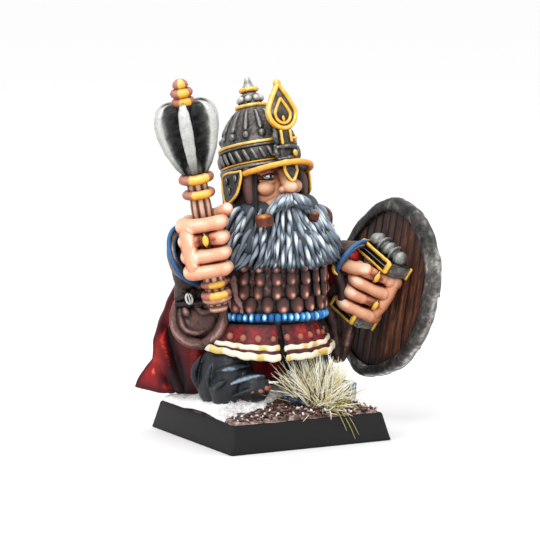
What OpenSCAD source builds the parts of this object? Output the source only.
// Painted dwarf miniature on a square slotted base, 28 mm heroic scale.
// The figure faces -Y, its right hand is on -X, and the base stands on Z = 0.

/* [Base] */
// Side of the square base at the table
base_side = 20; // [18:0.5:25]
// Height of the base shell
base_h = 3.1; // [2.8:0.1:4]
// How far each side leans in from foot to top
base_taper = 0.75; // [0.3:0.05:1]
// Wall of the moulded base shell
base_wall = 0.9; // [0.7:0.1:1.2]
// Length of the slot in the base
slot_len = 13; // [10:0.5:15]
// Width of the slot in the base
slot_w = 1.5; // [1.2:0.1:1.8]

/* [Figure] */
// Radius of the barrel-shaped torso
torso_r = 5.9; // [5.5:0.1:6.2]
// Height of the coat skirt's hem above the table
hem_z = 9.6; // [9:0.1:10.2]
// Height of the bead belt above the table
belt_z = 13.9; // [13.4:0.1:14.2]
// Turn of the body about Z, towards its own right hand
body_yaw = -10; // [-14:1:0]
// Turn of the head about Z, towards its own left hand
head_yaw = 8; // [0:1:12]
// Backward tilt of the head and helmet
head_tilt = 15; // [10:1:18]

/* [Helmet] */
// Radius of the helmet's band
helmet_r = 4.2; // [4:0.05:4.4]
// Height of the helmet above its rim
helmet_h = 10.6; // [10:0.1:11]

/* [Weapons] */
// Radius of the mace head across its flanges
mace_r = 3.6; // [3.4:0.05:4]
// Number of flanges on the mace head
flange_count = 6; // [5:1:8]
// Radius of the mace shaft
shaft_r = 1.3; // [1.1:0.05:1.4]
// Radius of the round shield
shield_r = 9.9; // [9:0.1:10.2]
// Thickness of the shield's boards
board_t = 1.0; // [0.8:0.1:1.2]

/* [Hidden] */
$fn = 48;
ORGANIC_FN = 16;      // facets of the spheres inside a hull
FIT = 0.05;           // glue gap round a peg or a tab
base_top = base_side / 2 - base_taper;
ground_t = 0.35;
mound_r = 26;         // radius of the low mound of ground on the base
mound_top = 4.95;     // its highest point
torso_top = 24.2;
slot_tab_h = 2.9;

// Places of the head, the hands and the weapons
HEAD_AT = [-1.3, -0.4, 29.7];
RIGHT_FIST = [-9.8, -4, 22.4];
LEFT_FIST = [10.0, -4.6, 16.7];
RIGHT_WRIST = [-10.5, -0.9, 21.4];
LEFT_WRIST = [8.4, -1.9, 19.7];
RIGHT_ELBOW = [-8.9, 2.6, 15.6];
LEFT_ELBOW = [9.1, 2.4, 16.2];
SHOULDER = [6.1, 0.7, 22.4];
SHIELD_AT = [14.0, -1.2, 16.0];
SHIELD_YAW = 8.6;
SHIELD_LEAN = 10.5;
MACE_LEAN = -10.6;    // about Y, so that the mace head stands out to the right
MACE_FOOT = 14.9;     // height of the pommel's foot
MACE_LEN = 25.9;
PEG_R = 1.2;
PEG_LEN = 2.2;

// ---------- helpers ----------
module limb(points, radii) {
    for (i = [0 : len(points) - 2])
        hull() {
            translate(points[i]) sphere(radii[i], $fn = ORGANIC_FN);
            translate(points[i + 1]) sphere(radii[i + 1], $fn = ORGANIC_FN);
        }
}

module blob(points, radii) {
    hull()
        for (i = [0 : len(points) - 1])
            translate(points[i]) sphere(radii[i], $fn = ORGANIC_FN);
}

module torus(ring_r, wire_r) {
    rotate_extrude() translate([ring_r, 0]) circle(wire_r, $fn = 16);
}

module in_body() { rotate([0, 0, body_yaw]) children(); }
module in_head() {
    translate(HEAD_AT) rotate([0, 0, head_yaw]) rotate([-head_tilt, 0, 0]) children();
}
// Along the mace: Z runs from the pommel's foot to the finial's tip.
module in_mace() {
    translate([RIGHT_FIST[0] + 1.42, RIGHT_FIST[1], MACE_FOOT])
        rotate([0, MACE_LEAN, 0]) children();
}
// On the shield: Z is the way its outer face looks, Y is up, the boards run from Z = 0 outwards.
module in_shield() {
    translate(SHIELD_AT) rotate([0, 0, SHIELD_YAW]) rotate([0, SHIELD_LEAN, 0])
        rotate([90, 0, 90]) children();
}
// Points local Z from one place to another.
module aim(from, to) {
    d = to - from;
    translate(from) rotate([0, acos(d[2] / norm(d)), atan2(d[1], d[0])]) children();
}

// ---------- base ----------
module taper_cuts(half, h, lean) {
    for (side = [0 : 3])
        rotate([0, 0, 90 * side]) translate([half, -half * 2, 0])
            rotate([0, -atan2(lean, h), 0]) cube([half, half * 4, h * 2]);
}

module frustum(half, h, lean) {
    difference() {
        translate([-half, -half, 0]) cube([half * 2, half * 2, h]);
        taper_cuts(half, h, lean);
    }
}

module base_shell() {
    half = base_side / 2;
    color("#1b1819") difference() {
        frustum(half, base_h, base_taper);
        translate([0, 0, -0.01]) difference() {
            frustum(half - base_wall, base_h - base_wall + 0.01, base_taper);
            // two lips run beside the slot and grip the tab
            for (s = [-1, 1])
                translate([-slot_len / 2, s * (slot_w / 2 + 0.4) - 0.4, 0.5])
                    cube([slot_len, 0.8, base_h]);
        }
        translate([-slot_len / 2, -slot_w / 2, -1]) cube([slot_len, slot_w, base_h + 2]);
    }
}

module slot_tab() {
    color("#8d8f92") translate([-slot_len / 2 + FIT, -slot_w / 2 + FIT, base_h - slot_tab_h])
        cube([slot_len - 2 * FIT, slot_w - 2 * FIT, slot_tab_h]);
}

module mound(r) { translate([-1.2, -0.6, mound_top - mound_r]) sphere(r, $fn = 120); }
module base_plan(inset) {
    edge = base_top - inset;
    polygon([for (a = [0 : 15 : 345])
        let (k = 1 / max(abs(cos(a)), abs(sin(a))))
        (edge - 0.1 * (1 + sin(a * 7))) * k * [cos(a), sin(a)]]);
}

module ground_layer() {
    color("#3a2622") intersection() {
        union() {
            translate([-base_side, -base_side, 0]) cube([base_side * 2, base_side * 2, base_h + ground_t]);
            mound(mound_r);
        }
        translate([0, 0, base_h]) linear_extrude(4) base_plan(0.1);
    }
}

// Snow lies as a skin on the mound, over the left part of the base and along its back.
module snow_patch() {
    color("#e8e4e2") difference() {
        intersection() {
            mound(mound_r + 0.55);
            translate([0, 0, base_h + ground_t]) linear_extrude(4)
                polygon([[-9.0, 9.0], [-9.0, -5.2], [-7.4, -6.4], [-5.0, -6.6], [-3.4, -7.4],
                    [-1.2, -6.8], [0.6, -5.4], [2.8, -1.0], [3.2, 4.0], [7.0, 8.0], [7.2, 9.0]]);
        }
        mound(mound_r);
    }
}

module rock(at, size, turn) {
    translate(at) rotate([0, 0, turn]) hull() {
        cylinder(h = size[2] * 0.3, r = size[0], $fn = 6);
        translate([-size[0] * 0.5, -size[1] * 0.3, 0]) cube([size[0], size[1] * 0.7, size[2]]);
        translate([-size[0] * 0.8, -size[1] * 0.5, 0]) cube([size[0], size[1], size[2] * 0.6]);
    }
}
module rock_large() { color("#6f7f8e") rock([7.1, -3.4, base_h + 0.2], [1.8, 2.6, 2.9], 25); }
module rock_small() { color("#2f3947") rock([-0.4, -5.9, base_h + 0.9], [1.4, 1.3, 1.35], -10); }

// Stiff blades stand in a fan from one small foot; the outer ones lean out over the edge.
module grass_tuft() {
    blades = 30;
    color("#d9d3a0") translate([3.3, -6.3, base_h + 0.5]) {
        cylinder(h = 0.6, r1 = 1.0, r2 = 0.6, $fn = 16);
        for (i = [0 : blades - 1])
            rotate([0, 0, i * 137.5]) rotate([0, 6 + 52 * pow(i / blades, 1.1), 0]) hull() {
                cylinder(h = 0.1, r = 0.2, $fn = 6);
                translate([0, 0, 6.0 - 1.5 * i / blades]) cylinder(h = 0.05, r = 0.05, $fn = 6);
            }
    }
}

// ---------- legs ----------
module right_trouser_leg() {
    color("#252a31") difference() {
        union() {
            blob([[-4.6, -0.8, 10.6], [-6.9, -0.6, 7.6], [-5.7, -2.6, 8.8]], [2.9, 2.5, 2.2]);
            blob([[-6.9, 0.4, 6.9], [-6.2, -2.6, 7.4], [-6.4, -1.2, 6.5]], [2.4, 2.1, 1.9]);
        }
        right_boot_body();
        translate([-12, -10, hem_z + 1.7]) cube([24, 20, 10]);
    }
}

module left_trouser_leg() {
    color("#252a31") difference() {
        blob([[3.6, -0.2, 10.4], [4.6, -0.8, 8.0], [4.5, -0.4, 7.0]], [2.8, 2.3, 1.9]);
        left_boot_body();
        translate([-12, -10, hem_z + 1.7]) cube([24, 20, 10]);
    }
}

sole_z = 4.75;
module right_boot_body() {
    intersection() {
        blob([[-6.6, 0.6, 6.3], [-5.5, -5.4, 6.35], [-6.0, -1.4, 7.0]], [1.9, 1.7, 1.8]);
        translate([-12, -12, sole_z]) cube(24);
    }
}
module right_boot() { color("#2b2a2f") right_boot_body(); }
module left_boot_body() {
    intersection() {
        blob([[4.4, 0.4, 5.8], [5.0, -3.8, 5.6], [4.6, -0.4, 6.8]], [1.8, 1.5, 1.6]);
        translate([-12, -12, sole_z - 0.6]) cube(24);
    }
}
module left_boot() { color("#2b2a2f") left_boot_body(); }

module boot_studs() {
    color("#a5604c") for (a = [-50 : 25 : 50])
        translate([-5.5 + 1.72 * sin(a), -5.4 - 1.72 * cos(a), 5.75])
            sphere(0.3, $fn = 16);
}

// ---------- torso and coat ----------
// Radius of the torso at each height, hem to shoulders
module torso_profile() {
    polygon([[0, hem_z + 1.8], [torso_r - 1.2, hem_z + 1.8], [torso_r - 0.3, belt_z],
        [torso_r, 16.5], [torso_r - 0.2, 19.5], [torso_r - 0.9, 22], [4.2, torso_top - 0.6],
        [2.6, torso_top], [0, torso_top]]);
}

module torso() {
    color("#3b2620") in_body() difference() {
        rotate_extrude($fn = 64) torso_profile();
        // sockets for the arm pegs and for the neck peg
        for (s = [-1, 1])
            translate([s * (torso_r - PEG_LEN - 1.2), SHOULDER[1], SHOULDER[2] - 1.6])
                rotate([0, s * 90, 0]) cylinder(h = 6, r = PEG_R);
        translate([0, 0, torso_top - 1.6]) cylinder(h = 3, r = 1.6);
    }
}

skirt_top_r = torso_r + 0.2;
skirt_hem_r = torso_r + 1.9;
module coat_skirt() {
    color("#7d1719") in_body() translate([-0.9, 0.3, 0]) difference() {
        rotate_extrude($fn = 64) polygon([[skirt_top_r - 1.3, belt_z - 0.5], [skirt_top_r, belt_z - 0.5],
            [skirt_hem_r - 0.4, hem_z + 1.6], [skirt_hem_r, hem_z], [skirt_hem_r - 0.9, hem_z],
            [skirt_top_r - 0.9, hem_z + 2.4]]);
        // the split at the front
        translate([0.4, -skirt_hem_r - 1, hem_z - 0.1]) rotate([0, 0, -4])
            cube([0.35, 2.2, belt_z - hem_z]);
    }
}

module skirt_ring(z, r) {
    in_body() translate([-0.9, 0.3, z]) difference() {
        torus(r, 0.34);
        translate([0.3, -skirt_hem_r - 1, -0.5]) rotate([0, 0, -4]) cube([0.55, 2.2, 1]);
    }
}
module skirt_trim_upper() { color("#e6d9b8") skirt_ring(hem_z + 1.55, skirt_hem_r - 0.12); }
module skirt_trim_lower() { color("#e6d9b8") skirt_ring(hem_z + 0.3, skirt_hem_r + 0.2); }

module skirt_studs() {
    stud_r = 0.42;
    color("#a8644c") in_body() translate([-0.9, 0.3, hem_z + 2.75])
        for (a = [-170 : 20 : 170])
            if (abs(a) > 5)
                rotate([0, 0, a - 90 + 3]) translate([skirt_hem_r - 0.75, 0, 0])
                    rotate([0, 90, 0]) cylinder(h = 0.5, r1 = stud_r, r2 = stud_r * 0.6);
}

module bead_belt() {
    beads = 40;
    color("#3f8fc4") in_body() translate([-0.2, 0, belt_z])
        for (i = [0 : beads - 1])
            rotate([0, 0, i * 360 / beads]) translate([torso_r + 0.45, 0, -0.25 * cos(i * 360 / beads * 2)])
                sphere(0.46, $fn = 16);
}

// A scale hangs on the belly, tip down, tilted to the slope of the torso.
module scale_plate(size) {
    rotate([0, 90, 0]) rotate([0, 12, 0]) {
        cylinder(h = 0.45, r = size * 0.5, $fn = 20);
        translate([-size * 0.9, -size * 0.42, 0]) cube([size * 0.9, size * 0.84, 0.35]);
    }
}

module scale_armour() {
    rows = 4;
    columns = 15;
    pitch = 200 / columns;
    color("#9a6558") in_body() for (row = [0 : rows - 1])
        for (i = [0 : columns - 1])
            rotate([0, 0, -90 + (i - (columns - 1) / 2 + (row % 2) * 0.5) * pitch])
                translate([torso_r + 0.05 - row * 0.02, 0, belt_z + 1.2 + row * 1.35])
                    scale_plate(1.25);
}

// ---------- cape ----------
// A curtain from the shoulders to the hem; t runs round the back from the right to the left.
CAPE_STEPS = 40;
CAPE_ROWS = 10;
CAPE_T = 0.75;
cape_top_z = 23.6;
cape_hem_z = 4.5;
function smooth(k) = k * k * (3 - 2 * k);
// Plan of the collar and of the hem, from the free edge on the right to the left one
COLLAR = [[-5.6, 0.2], [-5.6, 2.4], [-4.6, 4.2], [-2.6, 5.4], [0, 5.8], [2.6, 5.4],
    [4.6, 4.2], [5.8, 2.4], [6.2, 0.2]];
HEM = [[-11.9, 10.4], [-9.3, 8.2], [-6.9, 6.5], [-4.4, 8.6], [-1.4, 10.4], [1.8, 9.2],
    [4.6, 9.8], [7.2, 7.2], [8.4, 3.6]];
function plan(list, t) =
    let (u = t * (len(list) - 1), i = min(len(list) - 2, floor(u)), f = u - i,
         p0 = list[max(0, i - 1)], p1 = list[i], p2 = list[i + 1],
         p3 = list[min(len(list) - 1, i + 2)])
    0.5 * (2 * p1 + (p2 - p0) * f + (2 * p0 - 5 * p1 + 4 * p2 - p3) * f * f
        + (3 * p1 - p0 - 3 * p2 + p3) * f * f * f);
function cape_line(t, k) =
    let (flare = 0.35 * k + 0.65 * smooth(k),
         p = plan(COLLAR, t) * (1 - flare) + plan(HEM, t) * flare)
    [p[0], p[1], cape_top_z + (cape_hem_z - cape_top_z) * k];
function cape_out(t, k) =
    let (a = cape_line(max(0, t - 0.01), k), b = cape_line(min(1, t + 0.01), k), d = b - a)
    [-d[1], d[0], 0] / norm([d[0], d[1]]);
module cape() {
    outer = [for (j = [0 : CAPE_ROWS]) for (i = [0 : CAPE_STEPS])
        cape_line(i / CAPE_STEPS, j / CAPE_ROWS)
            + cape_out(i / CAPE_STEPS, j / CAPE_ROWS) * CAPE_T / 2];
    inner = [for (j = [0 : CAPE_ROWS]) for (i = [0 : CAPE_STEPS])
        cape_line(i / CAPE_STEPS, j / CAPE_ROWS)
            - cape_out(i / CAPE_STEPS, j / CAPE_ROWS) * CAPE_T / 2];
    w = CAPE_STEPS + 1;
    n = len(outer);
    sheet = [for (j = [0 : CAPE_ROWS - 1]) for (i = [0 : CAPE_STEPS - 1])
        [j * w + i, j * w + i + 1, (j + 1) * w + i + 1, (j + 1) * w + i]];
    top = [for (i = [0 : CAPE_STEPS - 1]) [i + 1, i, n + i, n + i + 1]];
    hem = [for (i = [0 : CAPE_STEPS - 1]) let (q = CAPE_ROWS * w + i) [q, q + 1, n + q + 1, n + q]];
    start = [for (j = [0 : CAPE_ROWS - 1]) [j * w, (j + 1) * w, n + (j + 1) * w, n + j * w]];
    end = [for (j = [0 : CAPE_ROWS - 1]) let (q = j * w + CAPE_STEPS) [q + w, q, n + q, n + q + w]];
    faces = concat([for (f = sheet) [f[3], f[2], f[1], f[0]]],
        [for (f = sheet) [for (v = f) v + n]],
        [for (f = top) [f[3], f[2], f[1], f[0]]], [for (f = hem) [f[3], f[2], f[1], f[0]]],
        [for (f = start) [f[3], f[2], f[1], f[0]]], [for (f = end) [f[3], f[2], f[1], f[0]]]);
    color("#8c1f22") polyhedron(concat(outer, inner), faces, convexity = 8);
}

// ---------- shoulders and arms ----------
module pauldron(s) {
    difference() {
        blob([[s * 4.2, 0.4, 24.6], [s * 6.6, 0.0, 23.4], [s * 5.2, 2.6, 23.9]], [1.5, 1.8, 1.5]);
        in_body() rotate_extrude() torso_profile();
    }
}
module left_pauldron() { color("#5a2a22") pauldron(1); }
module right_pauldron() { color("#5a2a22") pauldron(-1); }

module arm(s, elbow, wrist) {
    shoulder = [s * (SHOULDER[0] + 1.2), SHOULDER[1], SHOULDER[2] - 2.0];
    difference() {
        union() {
            limb([shoulder, elbow], [2.4, 2.3]);
            limb([elbow, wrist], [2.2, 1.6]);
        }
        in_body() rotate_extrude() torso_profile();
        pauldron(s);
    }
    // the peg that fits the torso's socket
    in_body() translate([s * (torso_r - PEG_LEN - 0.6), SHOULDER[1], SHOULDER[2] - 1.6])
        rotate([0, s * 90, 0]) cylinder(h = PEG_LEN, r = PEG_R - FIT);
}
module right_sleeve() { color("#5d3630") arm(-1, RIGHT_ELBOW, RIGHT_WRIST); }
module left_sleeve() { color("#5d3630") arm(1, LEFT_ELBOW, LEFT_WRIST); }

// The hanging part of the wide coat sleeve, gathered in a deep swag below the elbow.
module right_sleeve_drape() {
    color("#6d443c") difference() {
        union() {
            blob([[-10.0, 1.6, 16.0], [-9.6, 0.8, 13.4], [-7.6, 0.2, 13.0]], [1.2, 1.5, 1.5]);
            blob([[-7.6, 0.2, 13.0], [-6.6, -0.8, 15.0], [-7.2, -0.4, 16.4]], [1.5, 1.2, 1.0]);
        }
        arm(-1, RIGHT_ELBOW, RIGHT_WRIST);
    }
}
module left_sleeve_drape() {
    color("#5b3a35") difference() {
        blob([[8.2, 1.6, 13.6], [7.6, -1.4, 11.0], [8.8, -0.6, 8.0]], [1.7, 1.1, 0.8]);
        arm(1, LEFT_ELBOW, LEFT_WRIST);
        in_body() translate([-0.9, 0.3, 0]) cylinder(h = 20, r = skirt_hem_r + 0.1);
    }
}

module flared_cuff(r, depth) {
    rotate_extrude($fn = 48) polygon([[r - 1.6, -depth], [r - 0.9, -depth], [r, 0], [r - 0.15, 0.35],
        [r - 0.7, 0.3], [r - 1.4, -depth * 0.6]]);
}
RIGHT_CUFF = [-10.35, -1.35, 21.1];
LEFT_CUFF = [8.7, -2.5, 19.8];
module right_cuff() {
    color("#25527f") aim(RIGHT_CUFF, RIGHT_FIST + [2.2, -2.6, 1.2]) flared_cuff(3.35, 1.7);
}
module right_cuff_piping() {
    color("#c9a55f") aim(RIGHT_CUFF, RIGHT_FIST + [2.2, -2.6, 1.2])
        translate([0, 0, -0.45]) torus(3.35, 0.3);
}
module left_cuff() {
    color("#25527f") aim(LEFT_CUFF, LEFT_FIST + [0.6, -1.2, 0.6]) flared_cuff(2.45, 1.5);
}
module left_cuff_piping() {
    color("#c9a55f") aim(LEFT_CUFF, LEFT_FIST + [0.6, -1.2, 0.6])
        translate([0, 0, -0.4]) torus(2.45, 0.28);
}

// A fist closed round a bar along local Z; the knuckles stand on local -X.
// The index finger is on top, and the thumb crosses it on the +X side.
module fist(bar_r) {
    finger_r = 0.84;
    pitch = 1.5;
    difference() {
        union() {
            for (i = [0 : 3]) translate([0, 0, (1.5 - i) * pitch])
                blob([[-2.1, 0.9, 0], [-2.0, -1.5, 0], [1.8 - i * 0.1, -1.75, 0]],
                    [finger_r, finger_r, finger_r * 0.95]);
            blob([[-1.6, 1.5, 2.1], [-1.6, 1.5, -2.1], [0.8, 1.6, 1.9], [0.8, 1.6, -1.9]],
                [1.0, 1.0, 0.9, 0.9]);
            blob([[1.2, 1.5, 1.9], [2.2, -0.2, 3.2]], [0.86, 0.8]);
        }
        translate([0, 0, -6]) cylinder(h = 12, r = bar_r + FIT);
    }
}
RIGHT_FIST_TURN = 22;
module right_hand() {
    color("#e0a585") in_mace() translate([0, 0, 7.65]) rotate([0, 0, -RIGHT_FIST_TURN])
        fist(shaft_r);
}
module right_finger_ring() {
    color("#d79a25") in_mace() translate([0, 0, 7.65 + 0.8]) rotate([0, 0, -RIGHT_FIST_TURN])
        translate([-0.3, -2.65, 0]) rotate([90, 0, 0]) cylinder(h = 0.35, r1 = 0.55, r2 = 0.35);
}
// The grip stands clear of the boards between two guards. In its own frame Z runs up the
// grip, Y points at the boards and X points back and up towards the wrist.
function unit(v) = v / norm(v);
GRIP_N = unit([0.3445, -0.398, 0.849]);
GRIP_ALONG = [-0.262, 0.829, 0.4956];
GRIP_U = unit(GRIP_ALONG - (GRIP_ALONG * GRIP_N) * GRIP_N);
GRIP_V = cross(GRIP_U, GRIP_N);
GUARD_L = 5.5;        // length of the upper guard
GUARD_D = 3.4;        // how far the guards stand out from the boards
GUARD_H = 1.3;
GUARD_CORNER = [11.55, -7.0, 18.9]; // front top corner of the upper guard
grip_len = 5.7;
grip_r = 0.8;
module in_guard() {
    multmatrix([[GRIP_U[0], GRIP_V[0], GRIP_N[0], GUARD_CORNER[0]],
        [GRIP_U[1], GRIP_V[1], GRIP_N[1], GUARD_CORNER[1]],
        [GRIP_U[2], GRIP_V[2], GRIP_N[2], GUARD_CORNER[2]]]) children();
}
module in_grip() { in_guard() translate([2.4, 1.9, -GUARD_H - grip_len]) children(); }
module left_hand() {
    color("#d9a07f") in_grip() translate([0, 0, grip_len / 2 - 0.15]) rotate([0, 0, -52])
        scale(0.9) fist(grip_r / 0.9);
}
module left_finger_rings() {
    color("#d79a25") in_grip() translate([0, 0, grip_len / 2 - 0.15]) rotate([0, 0, 38])
        for (z = [-0.7, 2.0])
            translate([-2.35, -0.4, z]) rotate([0, -90, 0]) cylinder(h = 0.35, r1 = 0.5, r2 = 0.32);
}

// ---------- mace ----------
module mace_shaft() {
    flutes = 8;
    color("#6b4030") in_mace() difference() {
        translate([0, 0, 1.9]) cylinder(h = MACE_LEN - 4.6, r = shaft_r);
        for (i = [0 : flutes - 1])
            rotate([0, 0, (i + 0.5) * 360 / flutes]) translate([shaft_r + 0.12, 0, 2.5])
                cylinder(h = 11.2, r = 0.32, $fn = 16);
    }
}

FLANGE_LOW = 15.6;
FLANGE_HIGH = 23.4;
// Outline of one flange: narrow at the foot, widest high up, rounded over the shoulder
module flange_outline() {
    span = FLANGE_HIGH - FLANGE_LOW;
    polygon(concat([[shaft_r - 0.3, 0], [shaft_r + 0.35, 0], [shaft_r + 0.6, span * 0.1]],
        [for (a = [-55 : 11 : 95]) [1.35 + (mace_r - 1.35) * cos(a), span * 0.63 + span * 0.37 * sin(a)]],
        [[shaft_r - 0.3, span]]));
}
module mace_flanges() {
    color("#9a9b97") in_mace() translate([0, 0, FLANGE_LOW])
        for (i = [0 : flange_count - 1])
            rotate([0, 0, 20 + i * 360 / flange_count]) difference() {
                translate([0, 0.375, 0]) rotate([90, 0, 0]) linear_extrude(0.75) flange_outline();
                translate([0, 0, -1]) cylinder(h = 12, r = shaft_r);
            }
}

module mace_finial() {
    color("#9b4f28") in_mace() translate([0, 0, MACE_LEN - 2.7]) rotate_extrude()
        polygon([[0, -0.1], [1.15, -0.1], [1.05, 0.45], [0.7, 0.62], [1.02, 0.95], [1.05, 1.35],
            [0.8, 1.75], [0.48, 1.9], [0.62, 2.2], [0.5, 2.55], [0.2, 2.7], [0, 2.7]]);
}

module mace_collars() {
    color("#b9742c") in_mace() for (place = [[15.0, 1.35, 0.62], [13.3, 1.3, 0.55],
            [3.1, 1.2, 0.45], [1.95, 1.35, 0.5]])
        translate([0, 0, place[0]]) difference() {
            torus(place[1], place[2]);
            translate([0, 0, -1]) cylinder(h = 2, r = shaft_r);
        }
}

module mace_pommel() {
    color("#7b5240") in_mace() rotate_extrude()
        polygon([[0, 0], [0.75, 0], [1.0, 0.35], [0.95, 0.8], [1.25, 1.15], [1.2, 1.9], [0, 1.9]]);
}

// ---------- shield ----------
// Rim radius at each angle: a hand-made, slightly uneven round with a drawn-out foot
function rim_r(a) = shield_r * (1 + 0.012 * sin(a * 5 + 20) + 0.05 * pow(max(0, cos(a + 108)), 12));
module shield_round(inset) {
    polygon([for (a = [0 : 6 : 354]) (rim_r(a) - inset) * [cos(a), sin(a)]]);
}
RIM_W = 1.35;
RIM_T = 1.5;
module shield_boards() {
    plank = 1.55;
    color("#4a2c22") in_shield() difference() {
        linear_extrude(board_t) shield_round(RIM_W - 0.3);
        for (i = [-6 : 6])
            translate([i * plank - 0.07, -12, -0.1]) cube([0.14, 24, 0.32]);
        for (i = [-6 : 6])
            translate([i * plank - 0.07, -12, board_t - 0.22]) cube([0.14, 24, 0.4]);
    }
}
module shield_rim() {
    color("#6d6d6b") in_shield() difference() {
        translate([0, 0, -(RIM_T - board_t) / 2]) linear_extrude(RIM_T) shield_round(0);
        translate([0, 0, -2]) linear_extrude(6) shield_round(RIM_W);
        translate([0, 0, -0.01]) linear_extrude(board_t + 0.02) shield_round(RIM_W - 0.31);
    }
}

module grip_bar() {
    color("#3a2620") in_grip() cylinder(h = grip_len, r = grip_r);
}

module guard_block(l) { cube([l, GUARD_D, GUARD_H]); }
module in_low_guard() { in_guard() translate([0.5, 0.1, -2 * GUARD_H - grip_len]) children(); }
module grip_guard_upper() {
    color("#23201f") in_guard() translate([0, 0, -GUARD_H]) guard_block(GUARD_L);
}
module grip_guard_lower() { color("#23201f") in_low_guard() guard_block(GUARD_L - 1.0); }
// Square gilt rods along the edges of the guards' faces
module guard_edges(l) {
    w = 0.26;
    for (z = [0, GUARD_H - w]) translate([0, -w, z]) cube([l, w, w]);
    for (x = [0, l - w]) translate([x, -w, 0]) cube([w, w, GUARD_H]);
    translate([-w, -w, 0]) cube([w, w, GUARD_H]);
    translate([-w, GUARD_D - w, 0]) cube([w, w, GUARD_H]);
}
module grip_guard_trims() {
    color("#d79a25") {
        in_guard() translate([0, 0, -GUARD_H]) guard_edges(GUARD_L);
        in_low_guard() guard_edges(GUARD_L - 1.0);
    }
}

// A turned bar of five rings, the middle and end ones fuller, with domed ends.
module ringed_knob() {
    pitch = 0.86;
    wire = 0.36;
    color("#86868a") in_guard() translate([0.75, GUARD_D - 1.45, 0.75]) rotate([0, 90, 0])
        rotate_extrude() polygon(concat(
            [[0, -0.75], [0.4, -0.64], [0.65, -0.42]],
            [for (i = [0 : 4]) for (a = [-60 : 20 : 60])
                [(i % 2 == 0 ? 0.7 : 0.55) + wire * cos(a), i * pitch + wire * sin(a)]],
            [[0.65, 4 * pitch + 0.42], [0.4, 4 * pitch + 0.64], [0, 4 * pitch + 0.75]]));
}

// ---------- head ----------
module head() {
    color("#d79a78") in_head() difference() {
        union() {
            blob([[0, -0.2, -1.2], [0, -0.9, -3.2], [0, 0.2, -4.6]], [3.55, 3.2, 2.4]);
            blob([[0, -4.0, -1.2], [0, -4.9, -2.7]], [0.5, 0.95]);
        }
        translate([-6, -6, -0.1]) cube(12);
        // recesses under the brow
        for (s = [-1, 1]) translate([s * 1.5, -4.3, -1.05]) sphere(0.75, $fn = ORGANIC_FN);
    }
    // the neck peg in the torso's socket
    color("#d79a78") in_body() translate([0, 0, torso_top - 1.6 + FIT]) cylinder(h = 2.6, r = 1.6 - FIT);
}

module eyes() {
    color("#e9edf2") in_head() for (s = [-1, 1])
        translate([s * 1.45, -3.45, -1.1]) sphere(0.5, $fn = 16);
}

module dome_profile() {
    polygon([[0, 0], [helmet_r - 0.1, 0], [helmet_r - 0.1, 2.9], [helmet_r - 0.35, 3.6],
        [3.45, 4.6], [2.95, 5.6], [2.35, 6.5], [1.6, 7.2], [1.1, 7.4], [1.1, 8.6], [0, 8.6]]);
}
module helmet_dome() {
    drops = 12;
    color("#4a4a4b") in_head() difference() {
        union() {
            rotate_extrude($fn = 64) dome_profile();
            // embossed drops round the dome
            for (i = [0 : drops - 1])
                rotate([0, 0, (i + 0.5) * 360 / drops]) translate([3.85, 0, 3.75]) sphere(0.42, $fn = 16);
        }
        translate([0, 0, -1.5]) sphere(3.7, $fn = 48);
    }
}

module helmet_band() {
    strands = 26;
    color("#4a4a4b") in_head() {
        for (i = [0 : strands - 1])
            rotate([0, 0, i * 360 / strands]) translate([helmet_r + 0.05, 0, 1.45])
                rotate([25, 0, 0]) translate([0, 0, -0.75]) cylinder(h = 1.5, r = 0.26, $fn = 14);
        translate([0, 0, 0.15]) difference() {
            torus(helmet_r + 0.12, 0.3);
            translate([0, 0, -1]) cylinder(h = 2, r = helmet_r - 0.1);
        }
    }
}

module helmet_gold_rings() {
    color("#d79a25") in_head() {
        translate([0, 0, 2.75]) difference() {
            torus(helmet_r + 0.02, 0.22);
            translate([0, 0, -1]) cylinder(h = 2, r = helmet_r - 0.1);
        }
        translate([0, 0, 7.25]) difference() {
            torus(1.62, 0.2);
            translate([0, 0, -1]) cylinder(h = 2, r = 1.55);
        }
        translate([0, 0, 9.15]) difference() {
            torus(0.85, 0.3);
            translate([0, 0, -1]) cylinder(h = 2, r = 0.75);
        }
    }
}

module helmet_finial() {
    crown = 8;
    color("#6a6a6b") in_head() {
        for (i = [0 : crown - 1])
            rotate([0, 0, i * 360 / crown]) translate([1.12, 0, 8.1]) sphere(0.38, $fn = 16);
        translate([0, 0, 8.6]) rotate_extrude()
            polygon([[0, 0], [0.75, 0], [0.75, 0.8], [0.6, 1.0], [0.42, helmet_h - 8.9],
                [0.25, helmet_h - 8.6], [0, helmet_h - 8.6]]);
    }
}

module helmet_brim() {
    color("#c98a20") in_head() translate([0, -1.5, -0.45]) difference() {
        linear_extrude(0.55) polygon([for (a = [0 : 6 : 354]) [4.35 * cos(a), 5.0 * sin(a)]]);
        translate([0, 1.5, -1]) cylinder(h = 3, r = helmet_r - 0.05, $fn = 64);
        translate([-8, 0.2, -1]) cube([16, 8, 3]);
    }
}

module nasal_guard() {
    color("#3c3c3d") in_head() translate([0, -5.35, 0]) rotate([90, 0, 0]) {
        translate([0, 0, -0.2]) linear_extrude(0.5)
            polygon([[-0.8, 3.4], [0.8, 3.4], [0.8, -1.3], [0, -2.3], [-0.8, -1.3]]);
        // the bracket that holds the bar to the helmet
        translate([-1.15, 0.35, -1.35]) cube([2.3, 1.9, 1.3]);
    }
}

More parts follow.
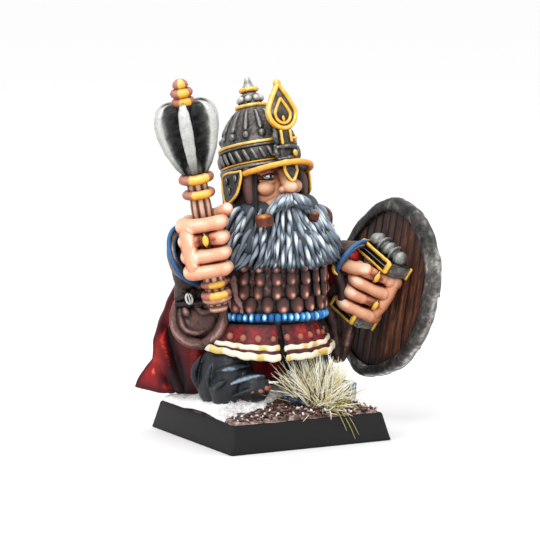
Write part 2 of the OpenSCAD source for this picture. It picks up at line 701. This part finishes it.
PLUME_LOW = 3.6;
PLUME_H = 5.4;
module teardrop(r, top) {
    hull() {
        circle(r, $fn = 40);
        translate([0, top]) circle(0.25, $fn = 16);
    }
}
module plume_plate() {
    color("#d79a25") in_head() translate([0, -5.35, PLUME_LOW + 1.95]) rotate([90, 0, 0]) {
        translate([0, 0, -0.3]) linear_extrude(0.6) teardrop(1.95, PLUME_H - 2.3);
        translate([0, PLUME_H - 2.3, 0]) sphere(0.42, $fn = 20);
    }
}

module cheek_guards() {
    color("#34322f") in_head() for (s = [-1, 1])
        hull() {
            translate([s * 4.25, 0.6, -0.4]) sphere(0.3, $fn = ORGANIC_FN);
            translate([s * 4.1, -2.3, -0.5]) sphere(0.3, $fn = ORGANIC_FN);
            translate([s * 4.75, -1.6, -2.6]) sphere(0.3, $fn = ORGANIC_FN);
            translate([s * 4.9, 0.5, -3.1]) sphere(0.3, $fn = ORGANIC_FN);
        }
}

// The padded leather lining that shows round the face and falls over the neck.
module leather_coif() {
    color("#6a3b33") in_head() difference() {
        translate([0, 0.9, -2.2]) sphere(4.35, $fn = 48);
        translate([0, 0, -0.1]) cylinder(h = 8, r = 8);
        translate([-8, -10.6, -8]) cube([16, 9.0, 12]);
        translate([0, 0.4, -2.0]) sphere(3.75, $fn = 48);
    }
}

module beard_shape() {
    blob([[-3.9, -3.0, 25.0], [-4.3, -3.6, 22.4], [4.6, -2.6, 22.3], [3.0, -2.6, 25.6],
        [0.6, -4.6, 21.6], [-0.9, -4.2, 25.2]], [2.0, 2.2, 2.5, 1.7, 2.9, 1.8]);
}
module beard() {
    color("#98a2ad") difference() {
        beard_shape();
        head();
        in_body() rotate_extrude() torso_profile();
    }
}

function head_side(s) = [HEAD_AT[0] + 0.5 + s * 3.2, -5.7 + s * 0.45, 25.0];
module moustache() {
    color("#b9c2cc") for (s = [-1, 1])
        limb([[HEAD_AT[0] + 0.6, -6.0, 26.4], [HEAD_AT[0] + 0.55 + s * 1.7, -6.6, 26.3], head_side(s)],
            [0.95, 0.9, 0.6]);
}
module beard_clasps() {
    color("#b06a2c") for (s = [-1, 1])
        translate(head_side(s) + [s * 0.35, -0.25, -0.35]) rotate([0, s * 35, 0])
            difference() {
                translate([0, 0, -0.85]) cylinder(h = 1.7, r = 0.95);
                translate([0, 0, -1]) cylinder(h = 2, r = 0.55);
            }
}

base_shell();
slot_tab();
ground_layer();
snow_patch();
rock_large();
rock_small();
grass_tuft();
right_trouser_leg();
left_trouser_leg();
right_boot();
left_boot();
boot_studs();
torso();
coat_skirt();
skirt_trim_upper();
skirt_trim_lower();
skirt_studs();
bead_belt();
scale_armour();
cape();
left_pauldron();
right_pauldron();
right_sleeve();
right_sleeve_drape();
right_cuff();
right_cuff_piping();
right_hand();
right_finger_ring();
left_sleeve();
left_sleeve_drape();
left_cuff();
left_cuff_piping();
left_hand();
left_finger_rings();
mace_shaft();
mace_flanges();
mace_finial();
mace_collars();
mace_pommel();
shield_boards();
shield_rim();
grip_bar();
grip_guard_upper();
grip_guard_lower();
grip_guard_trims();
ringed_knob();
head();
eyes();
helmet_dome();
helmet_band();
helmet_gold_rings();
helmet_finial();
helmet_brim();
nasal_guard();
plume_plate();
cheek_guards();
leather_coif();
beard();
moustache();
beard_clasps();
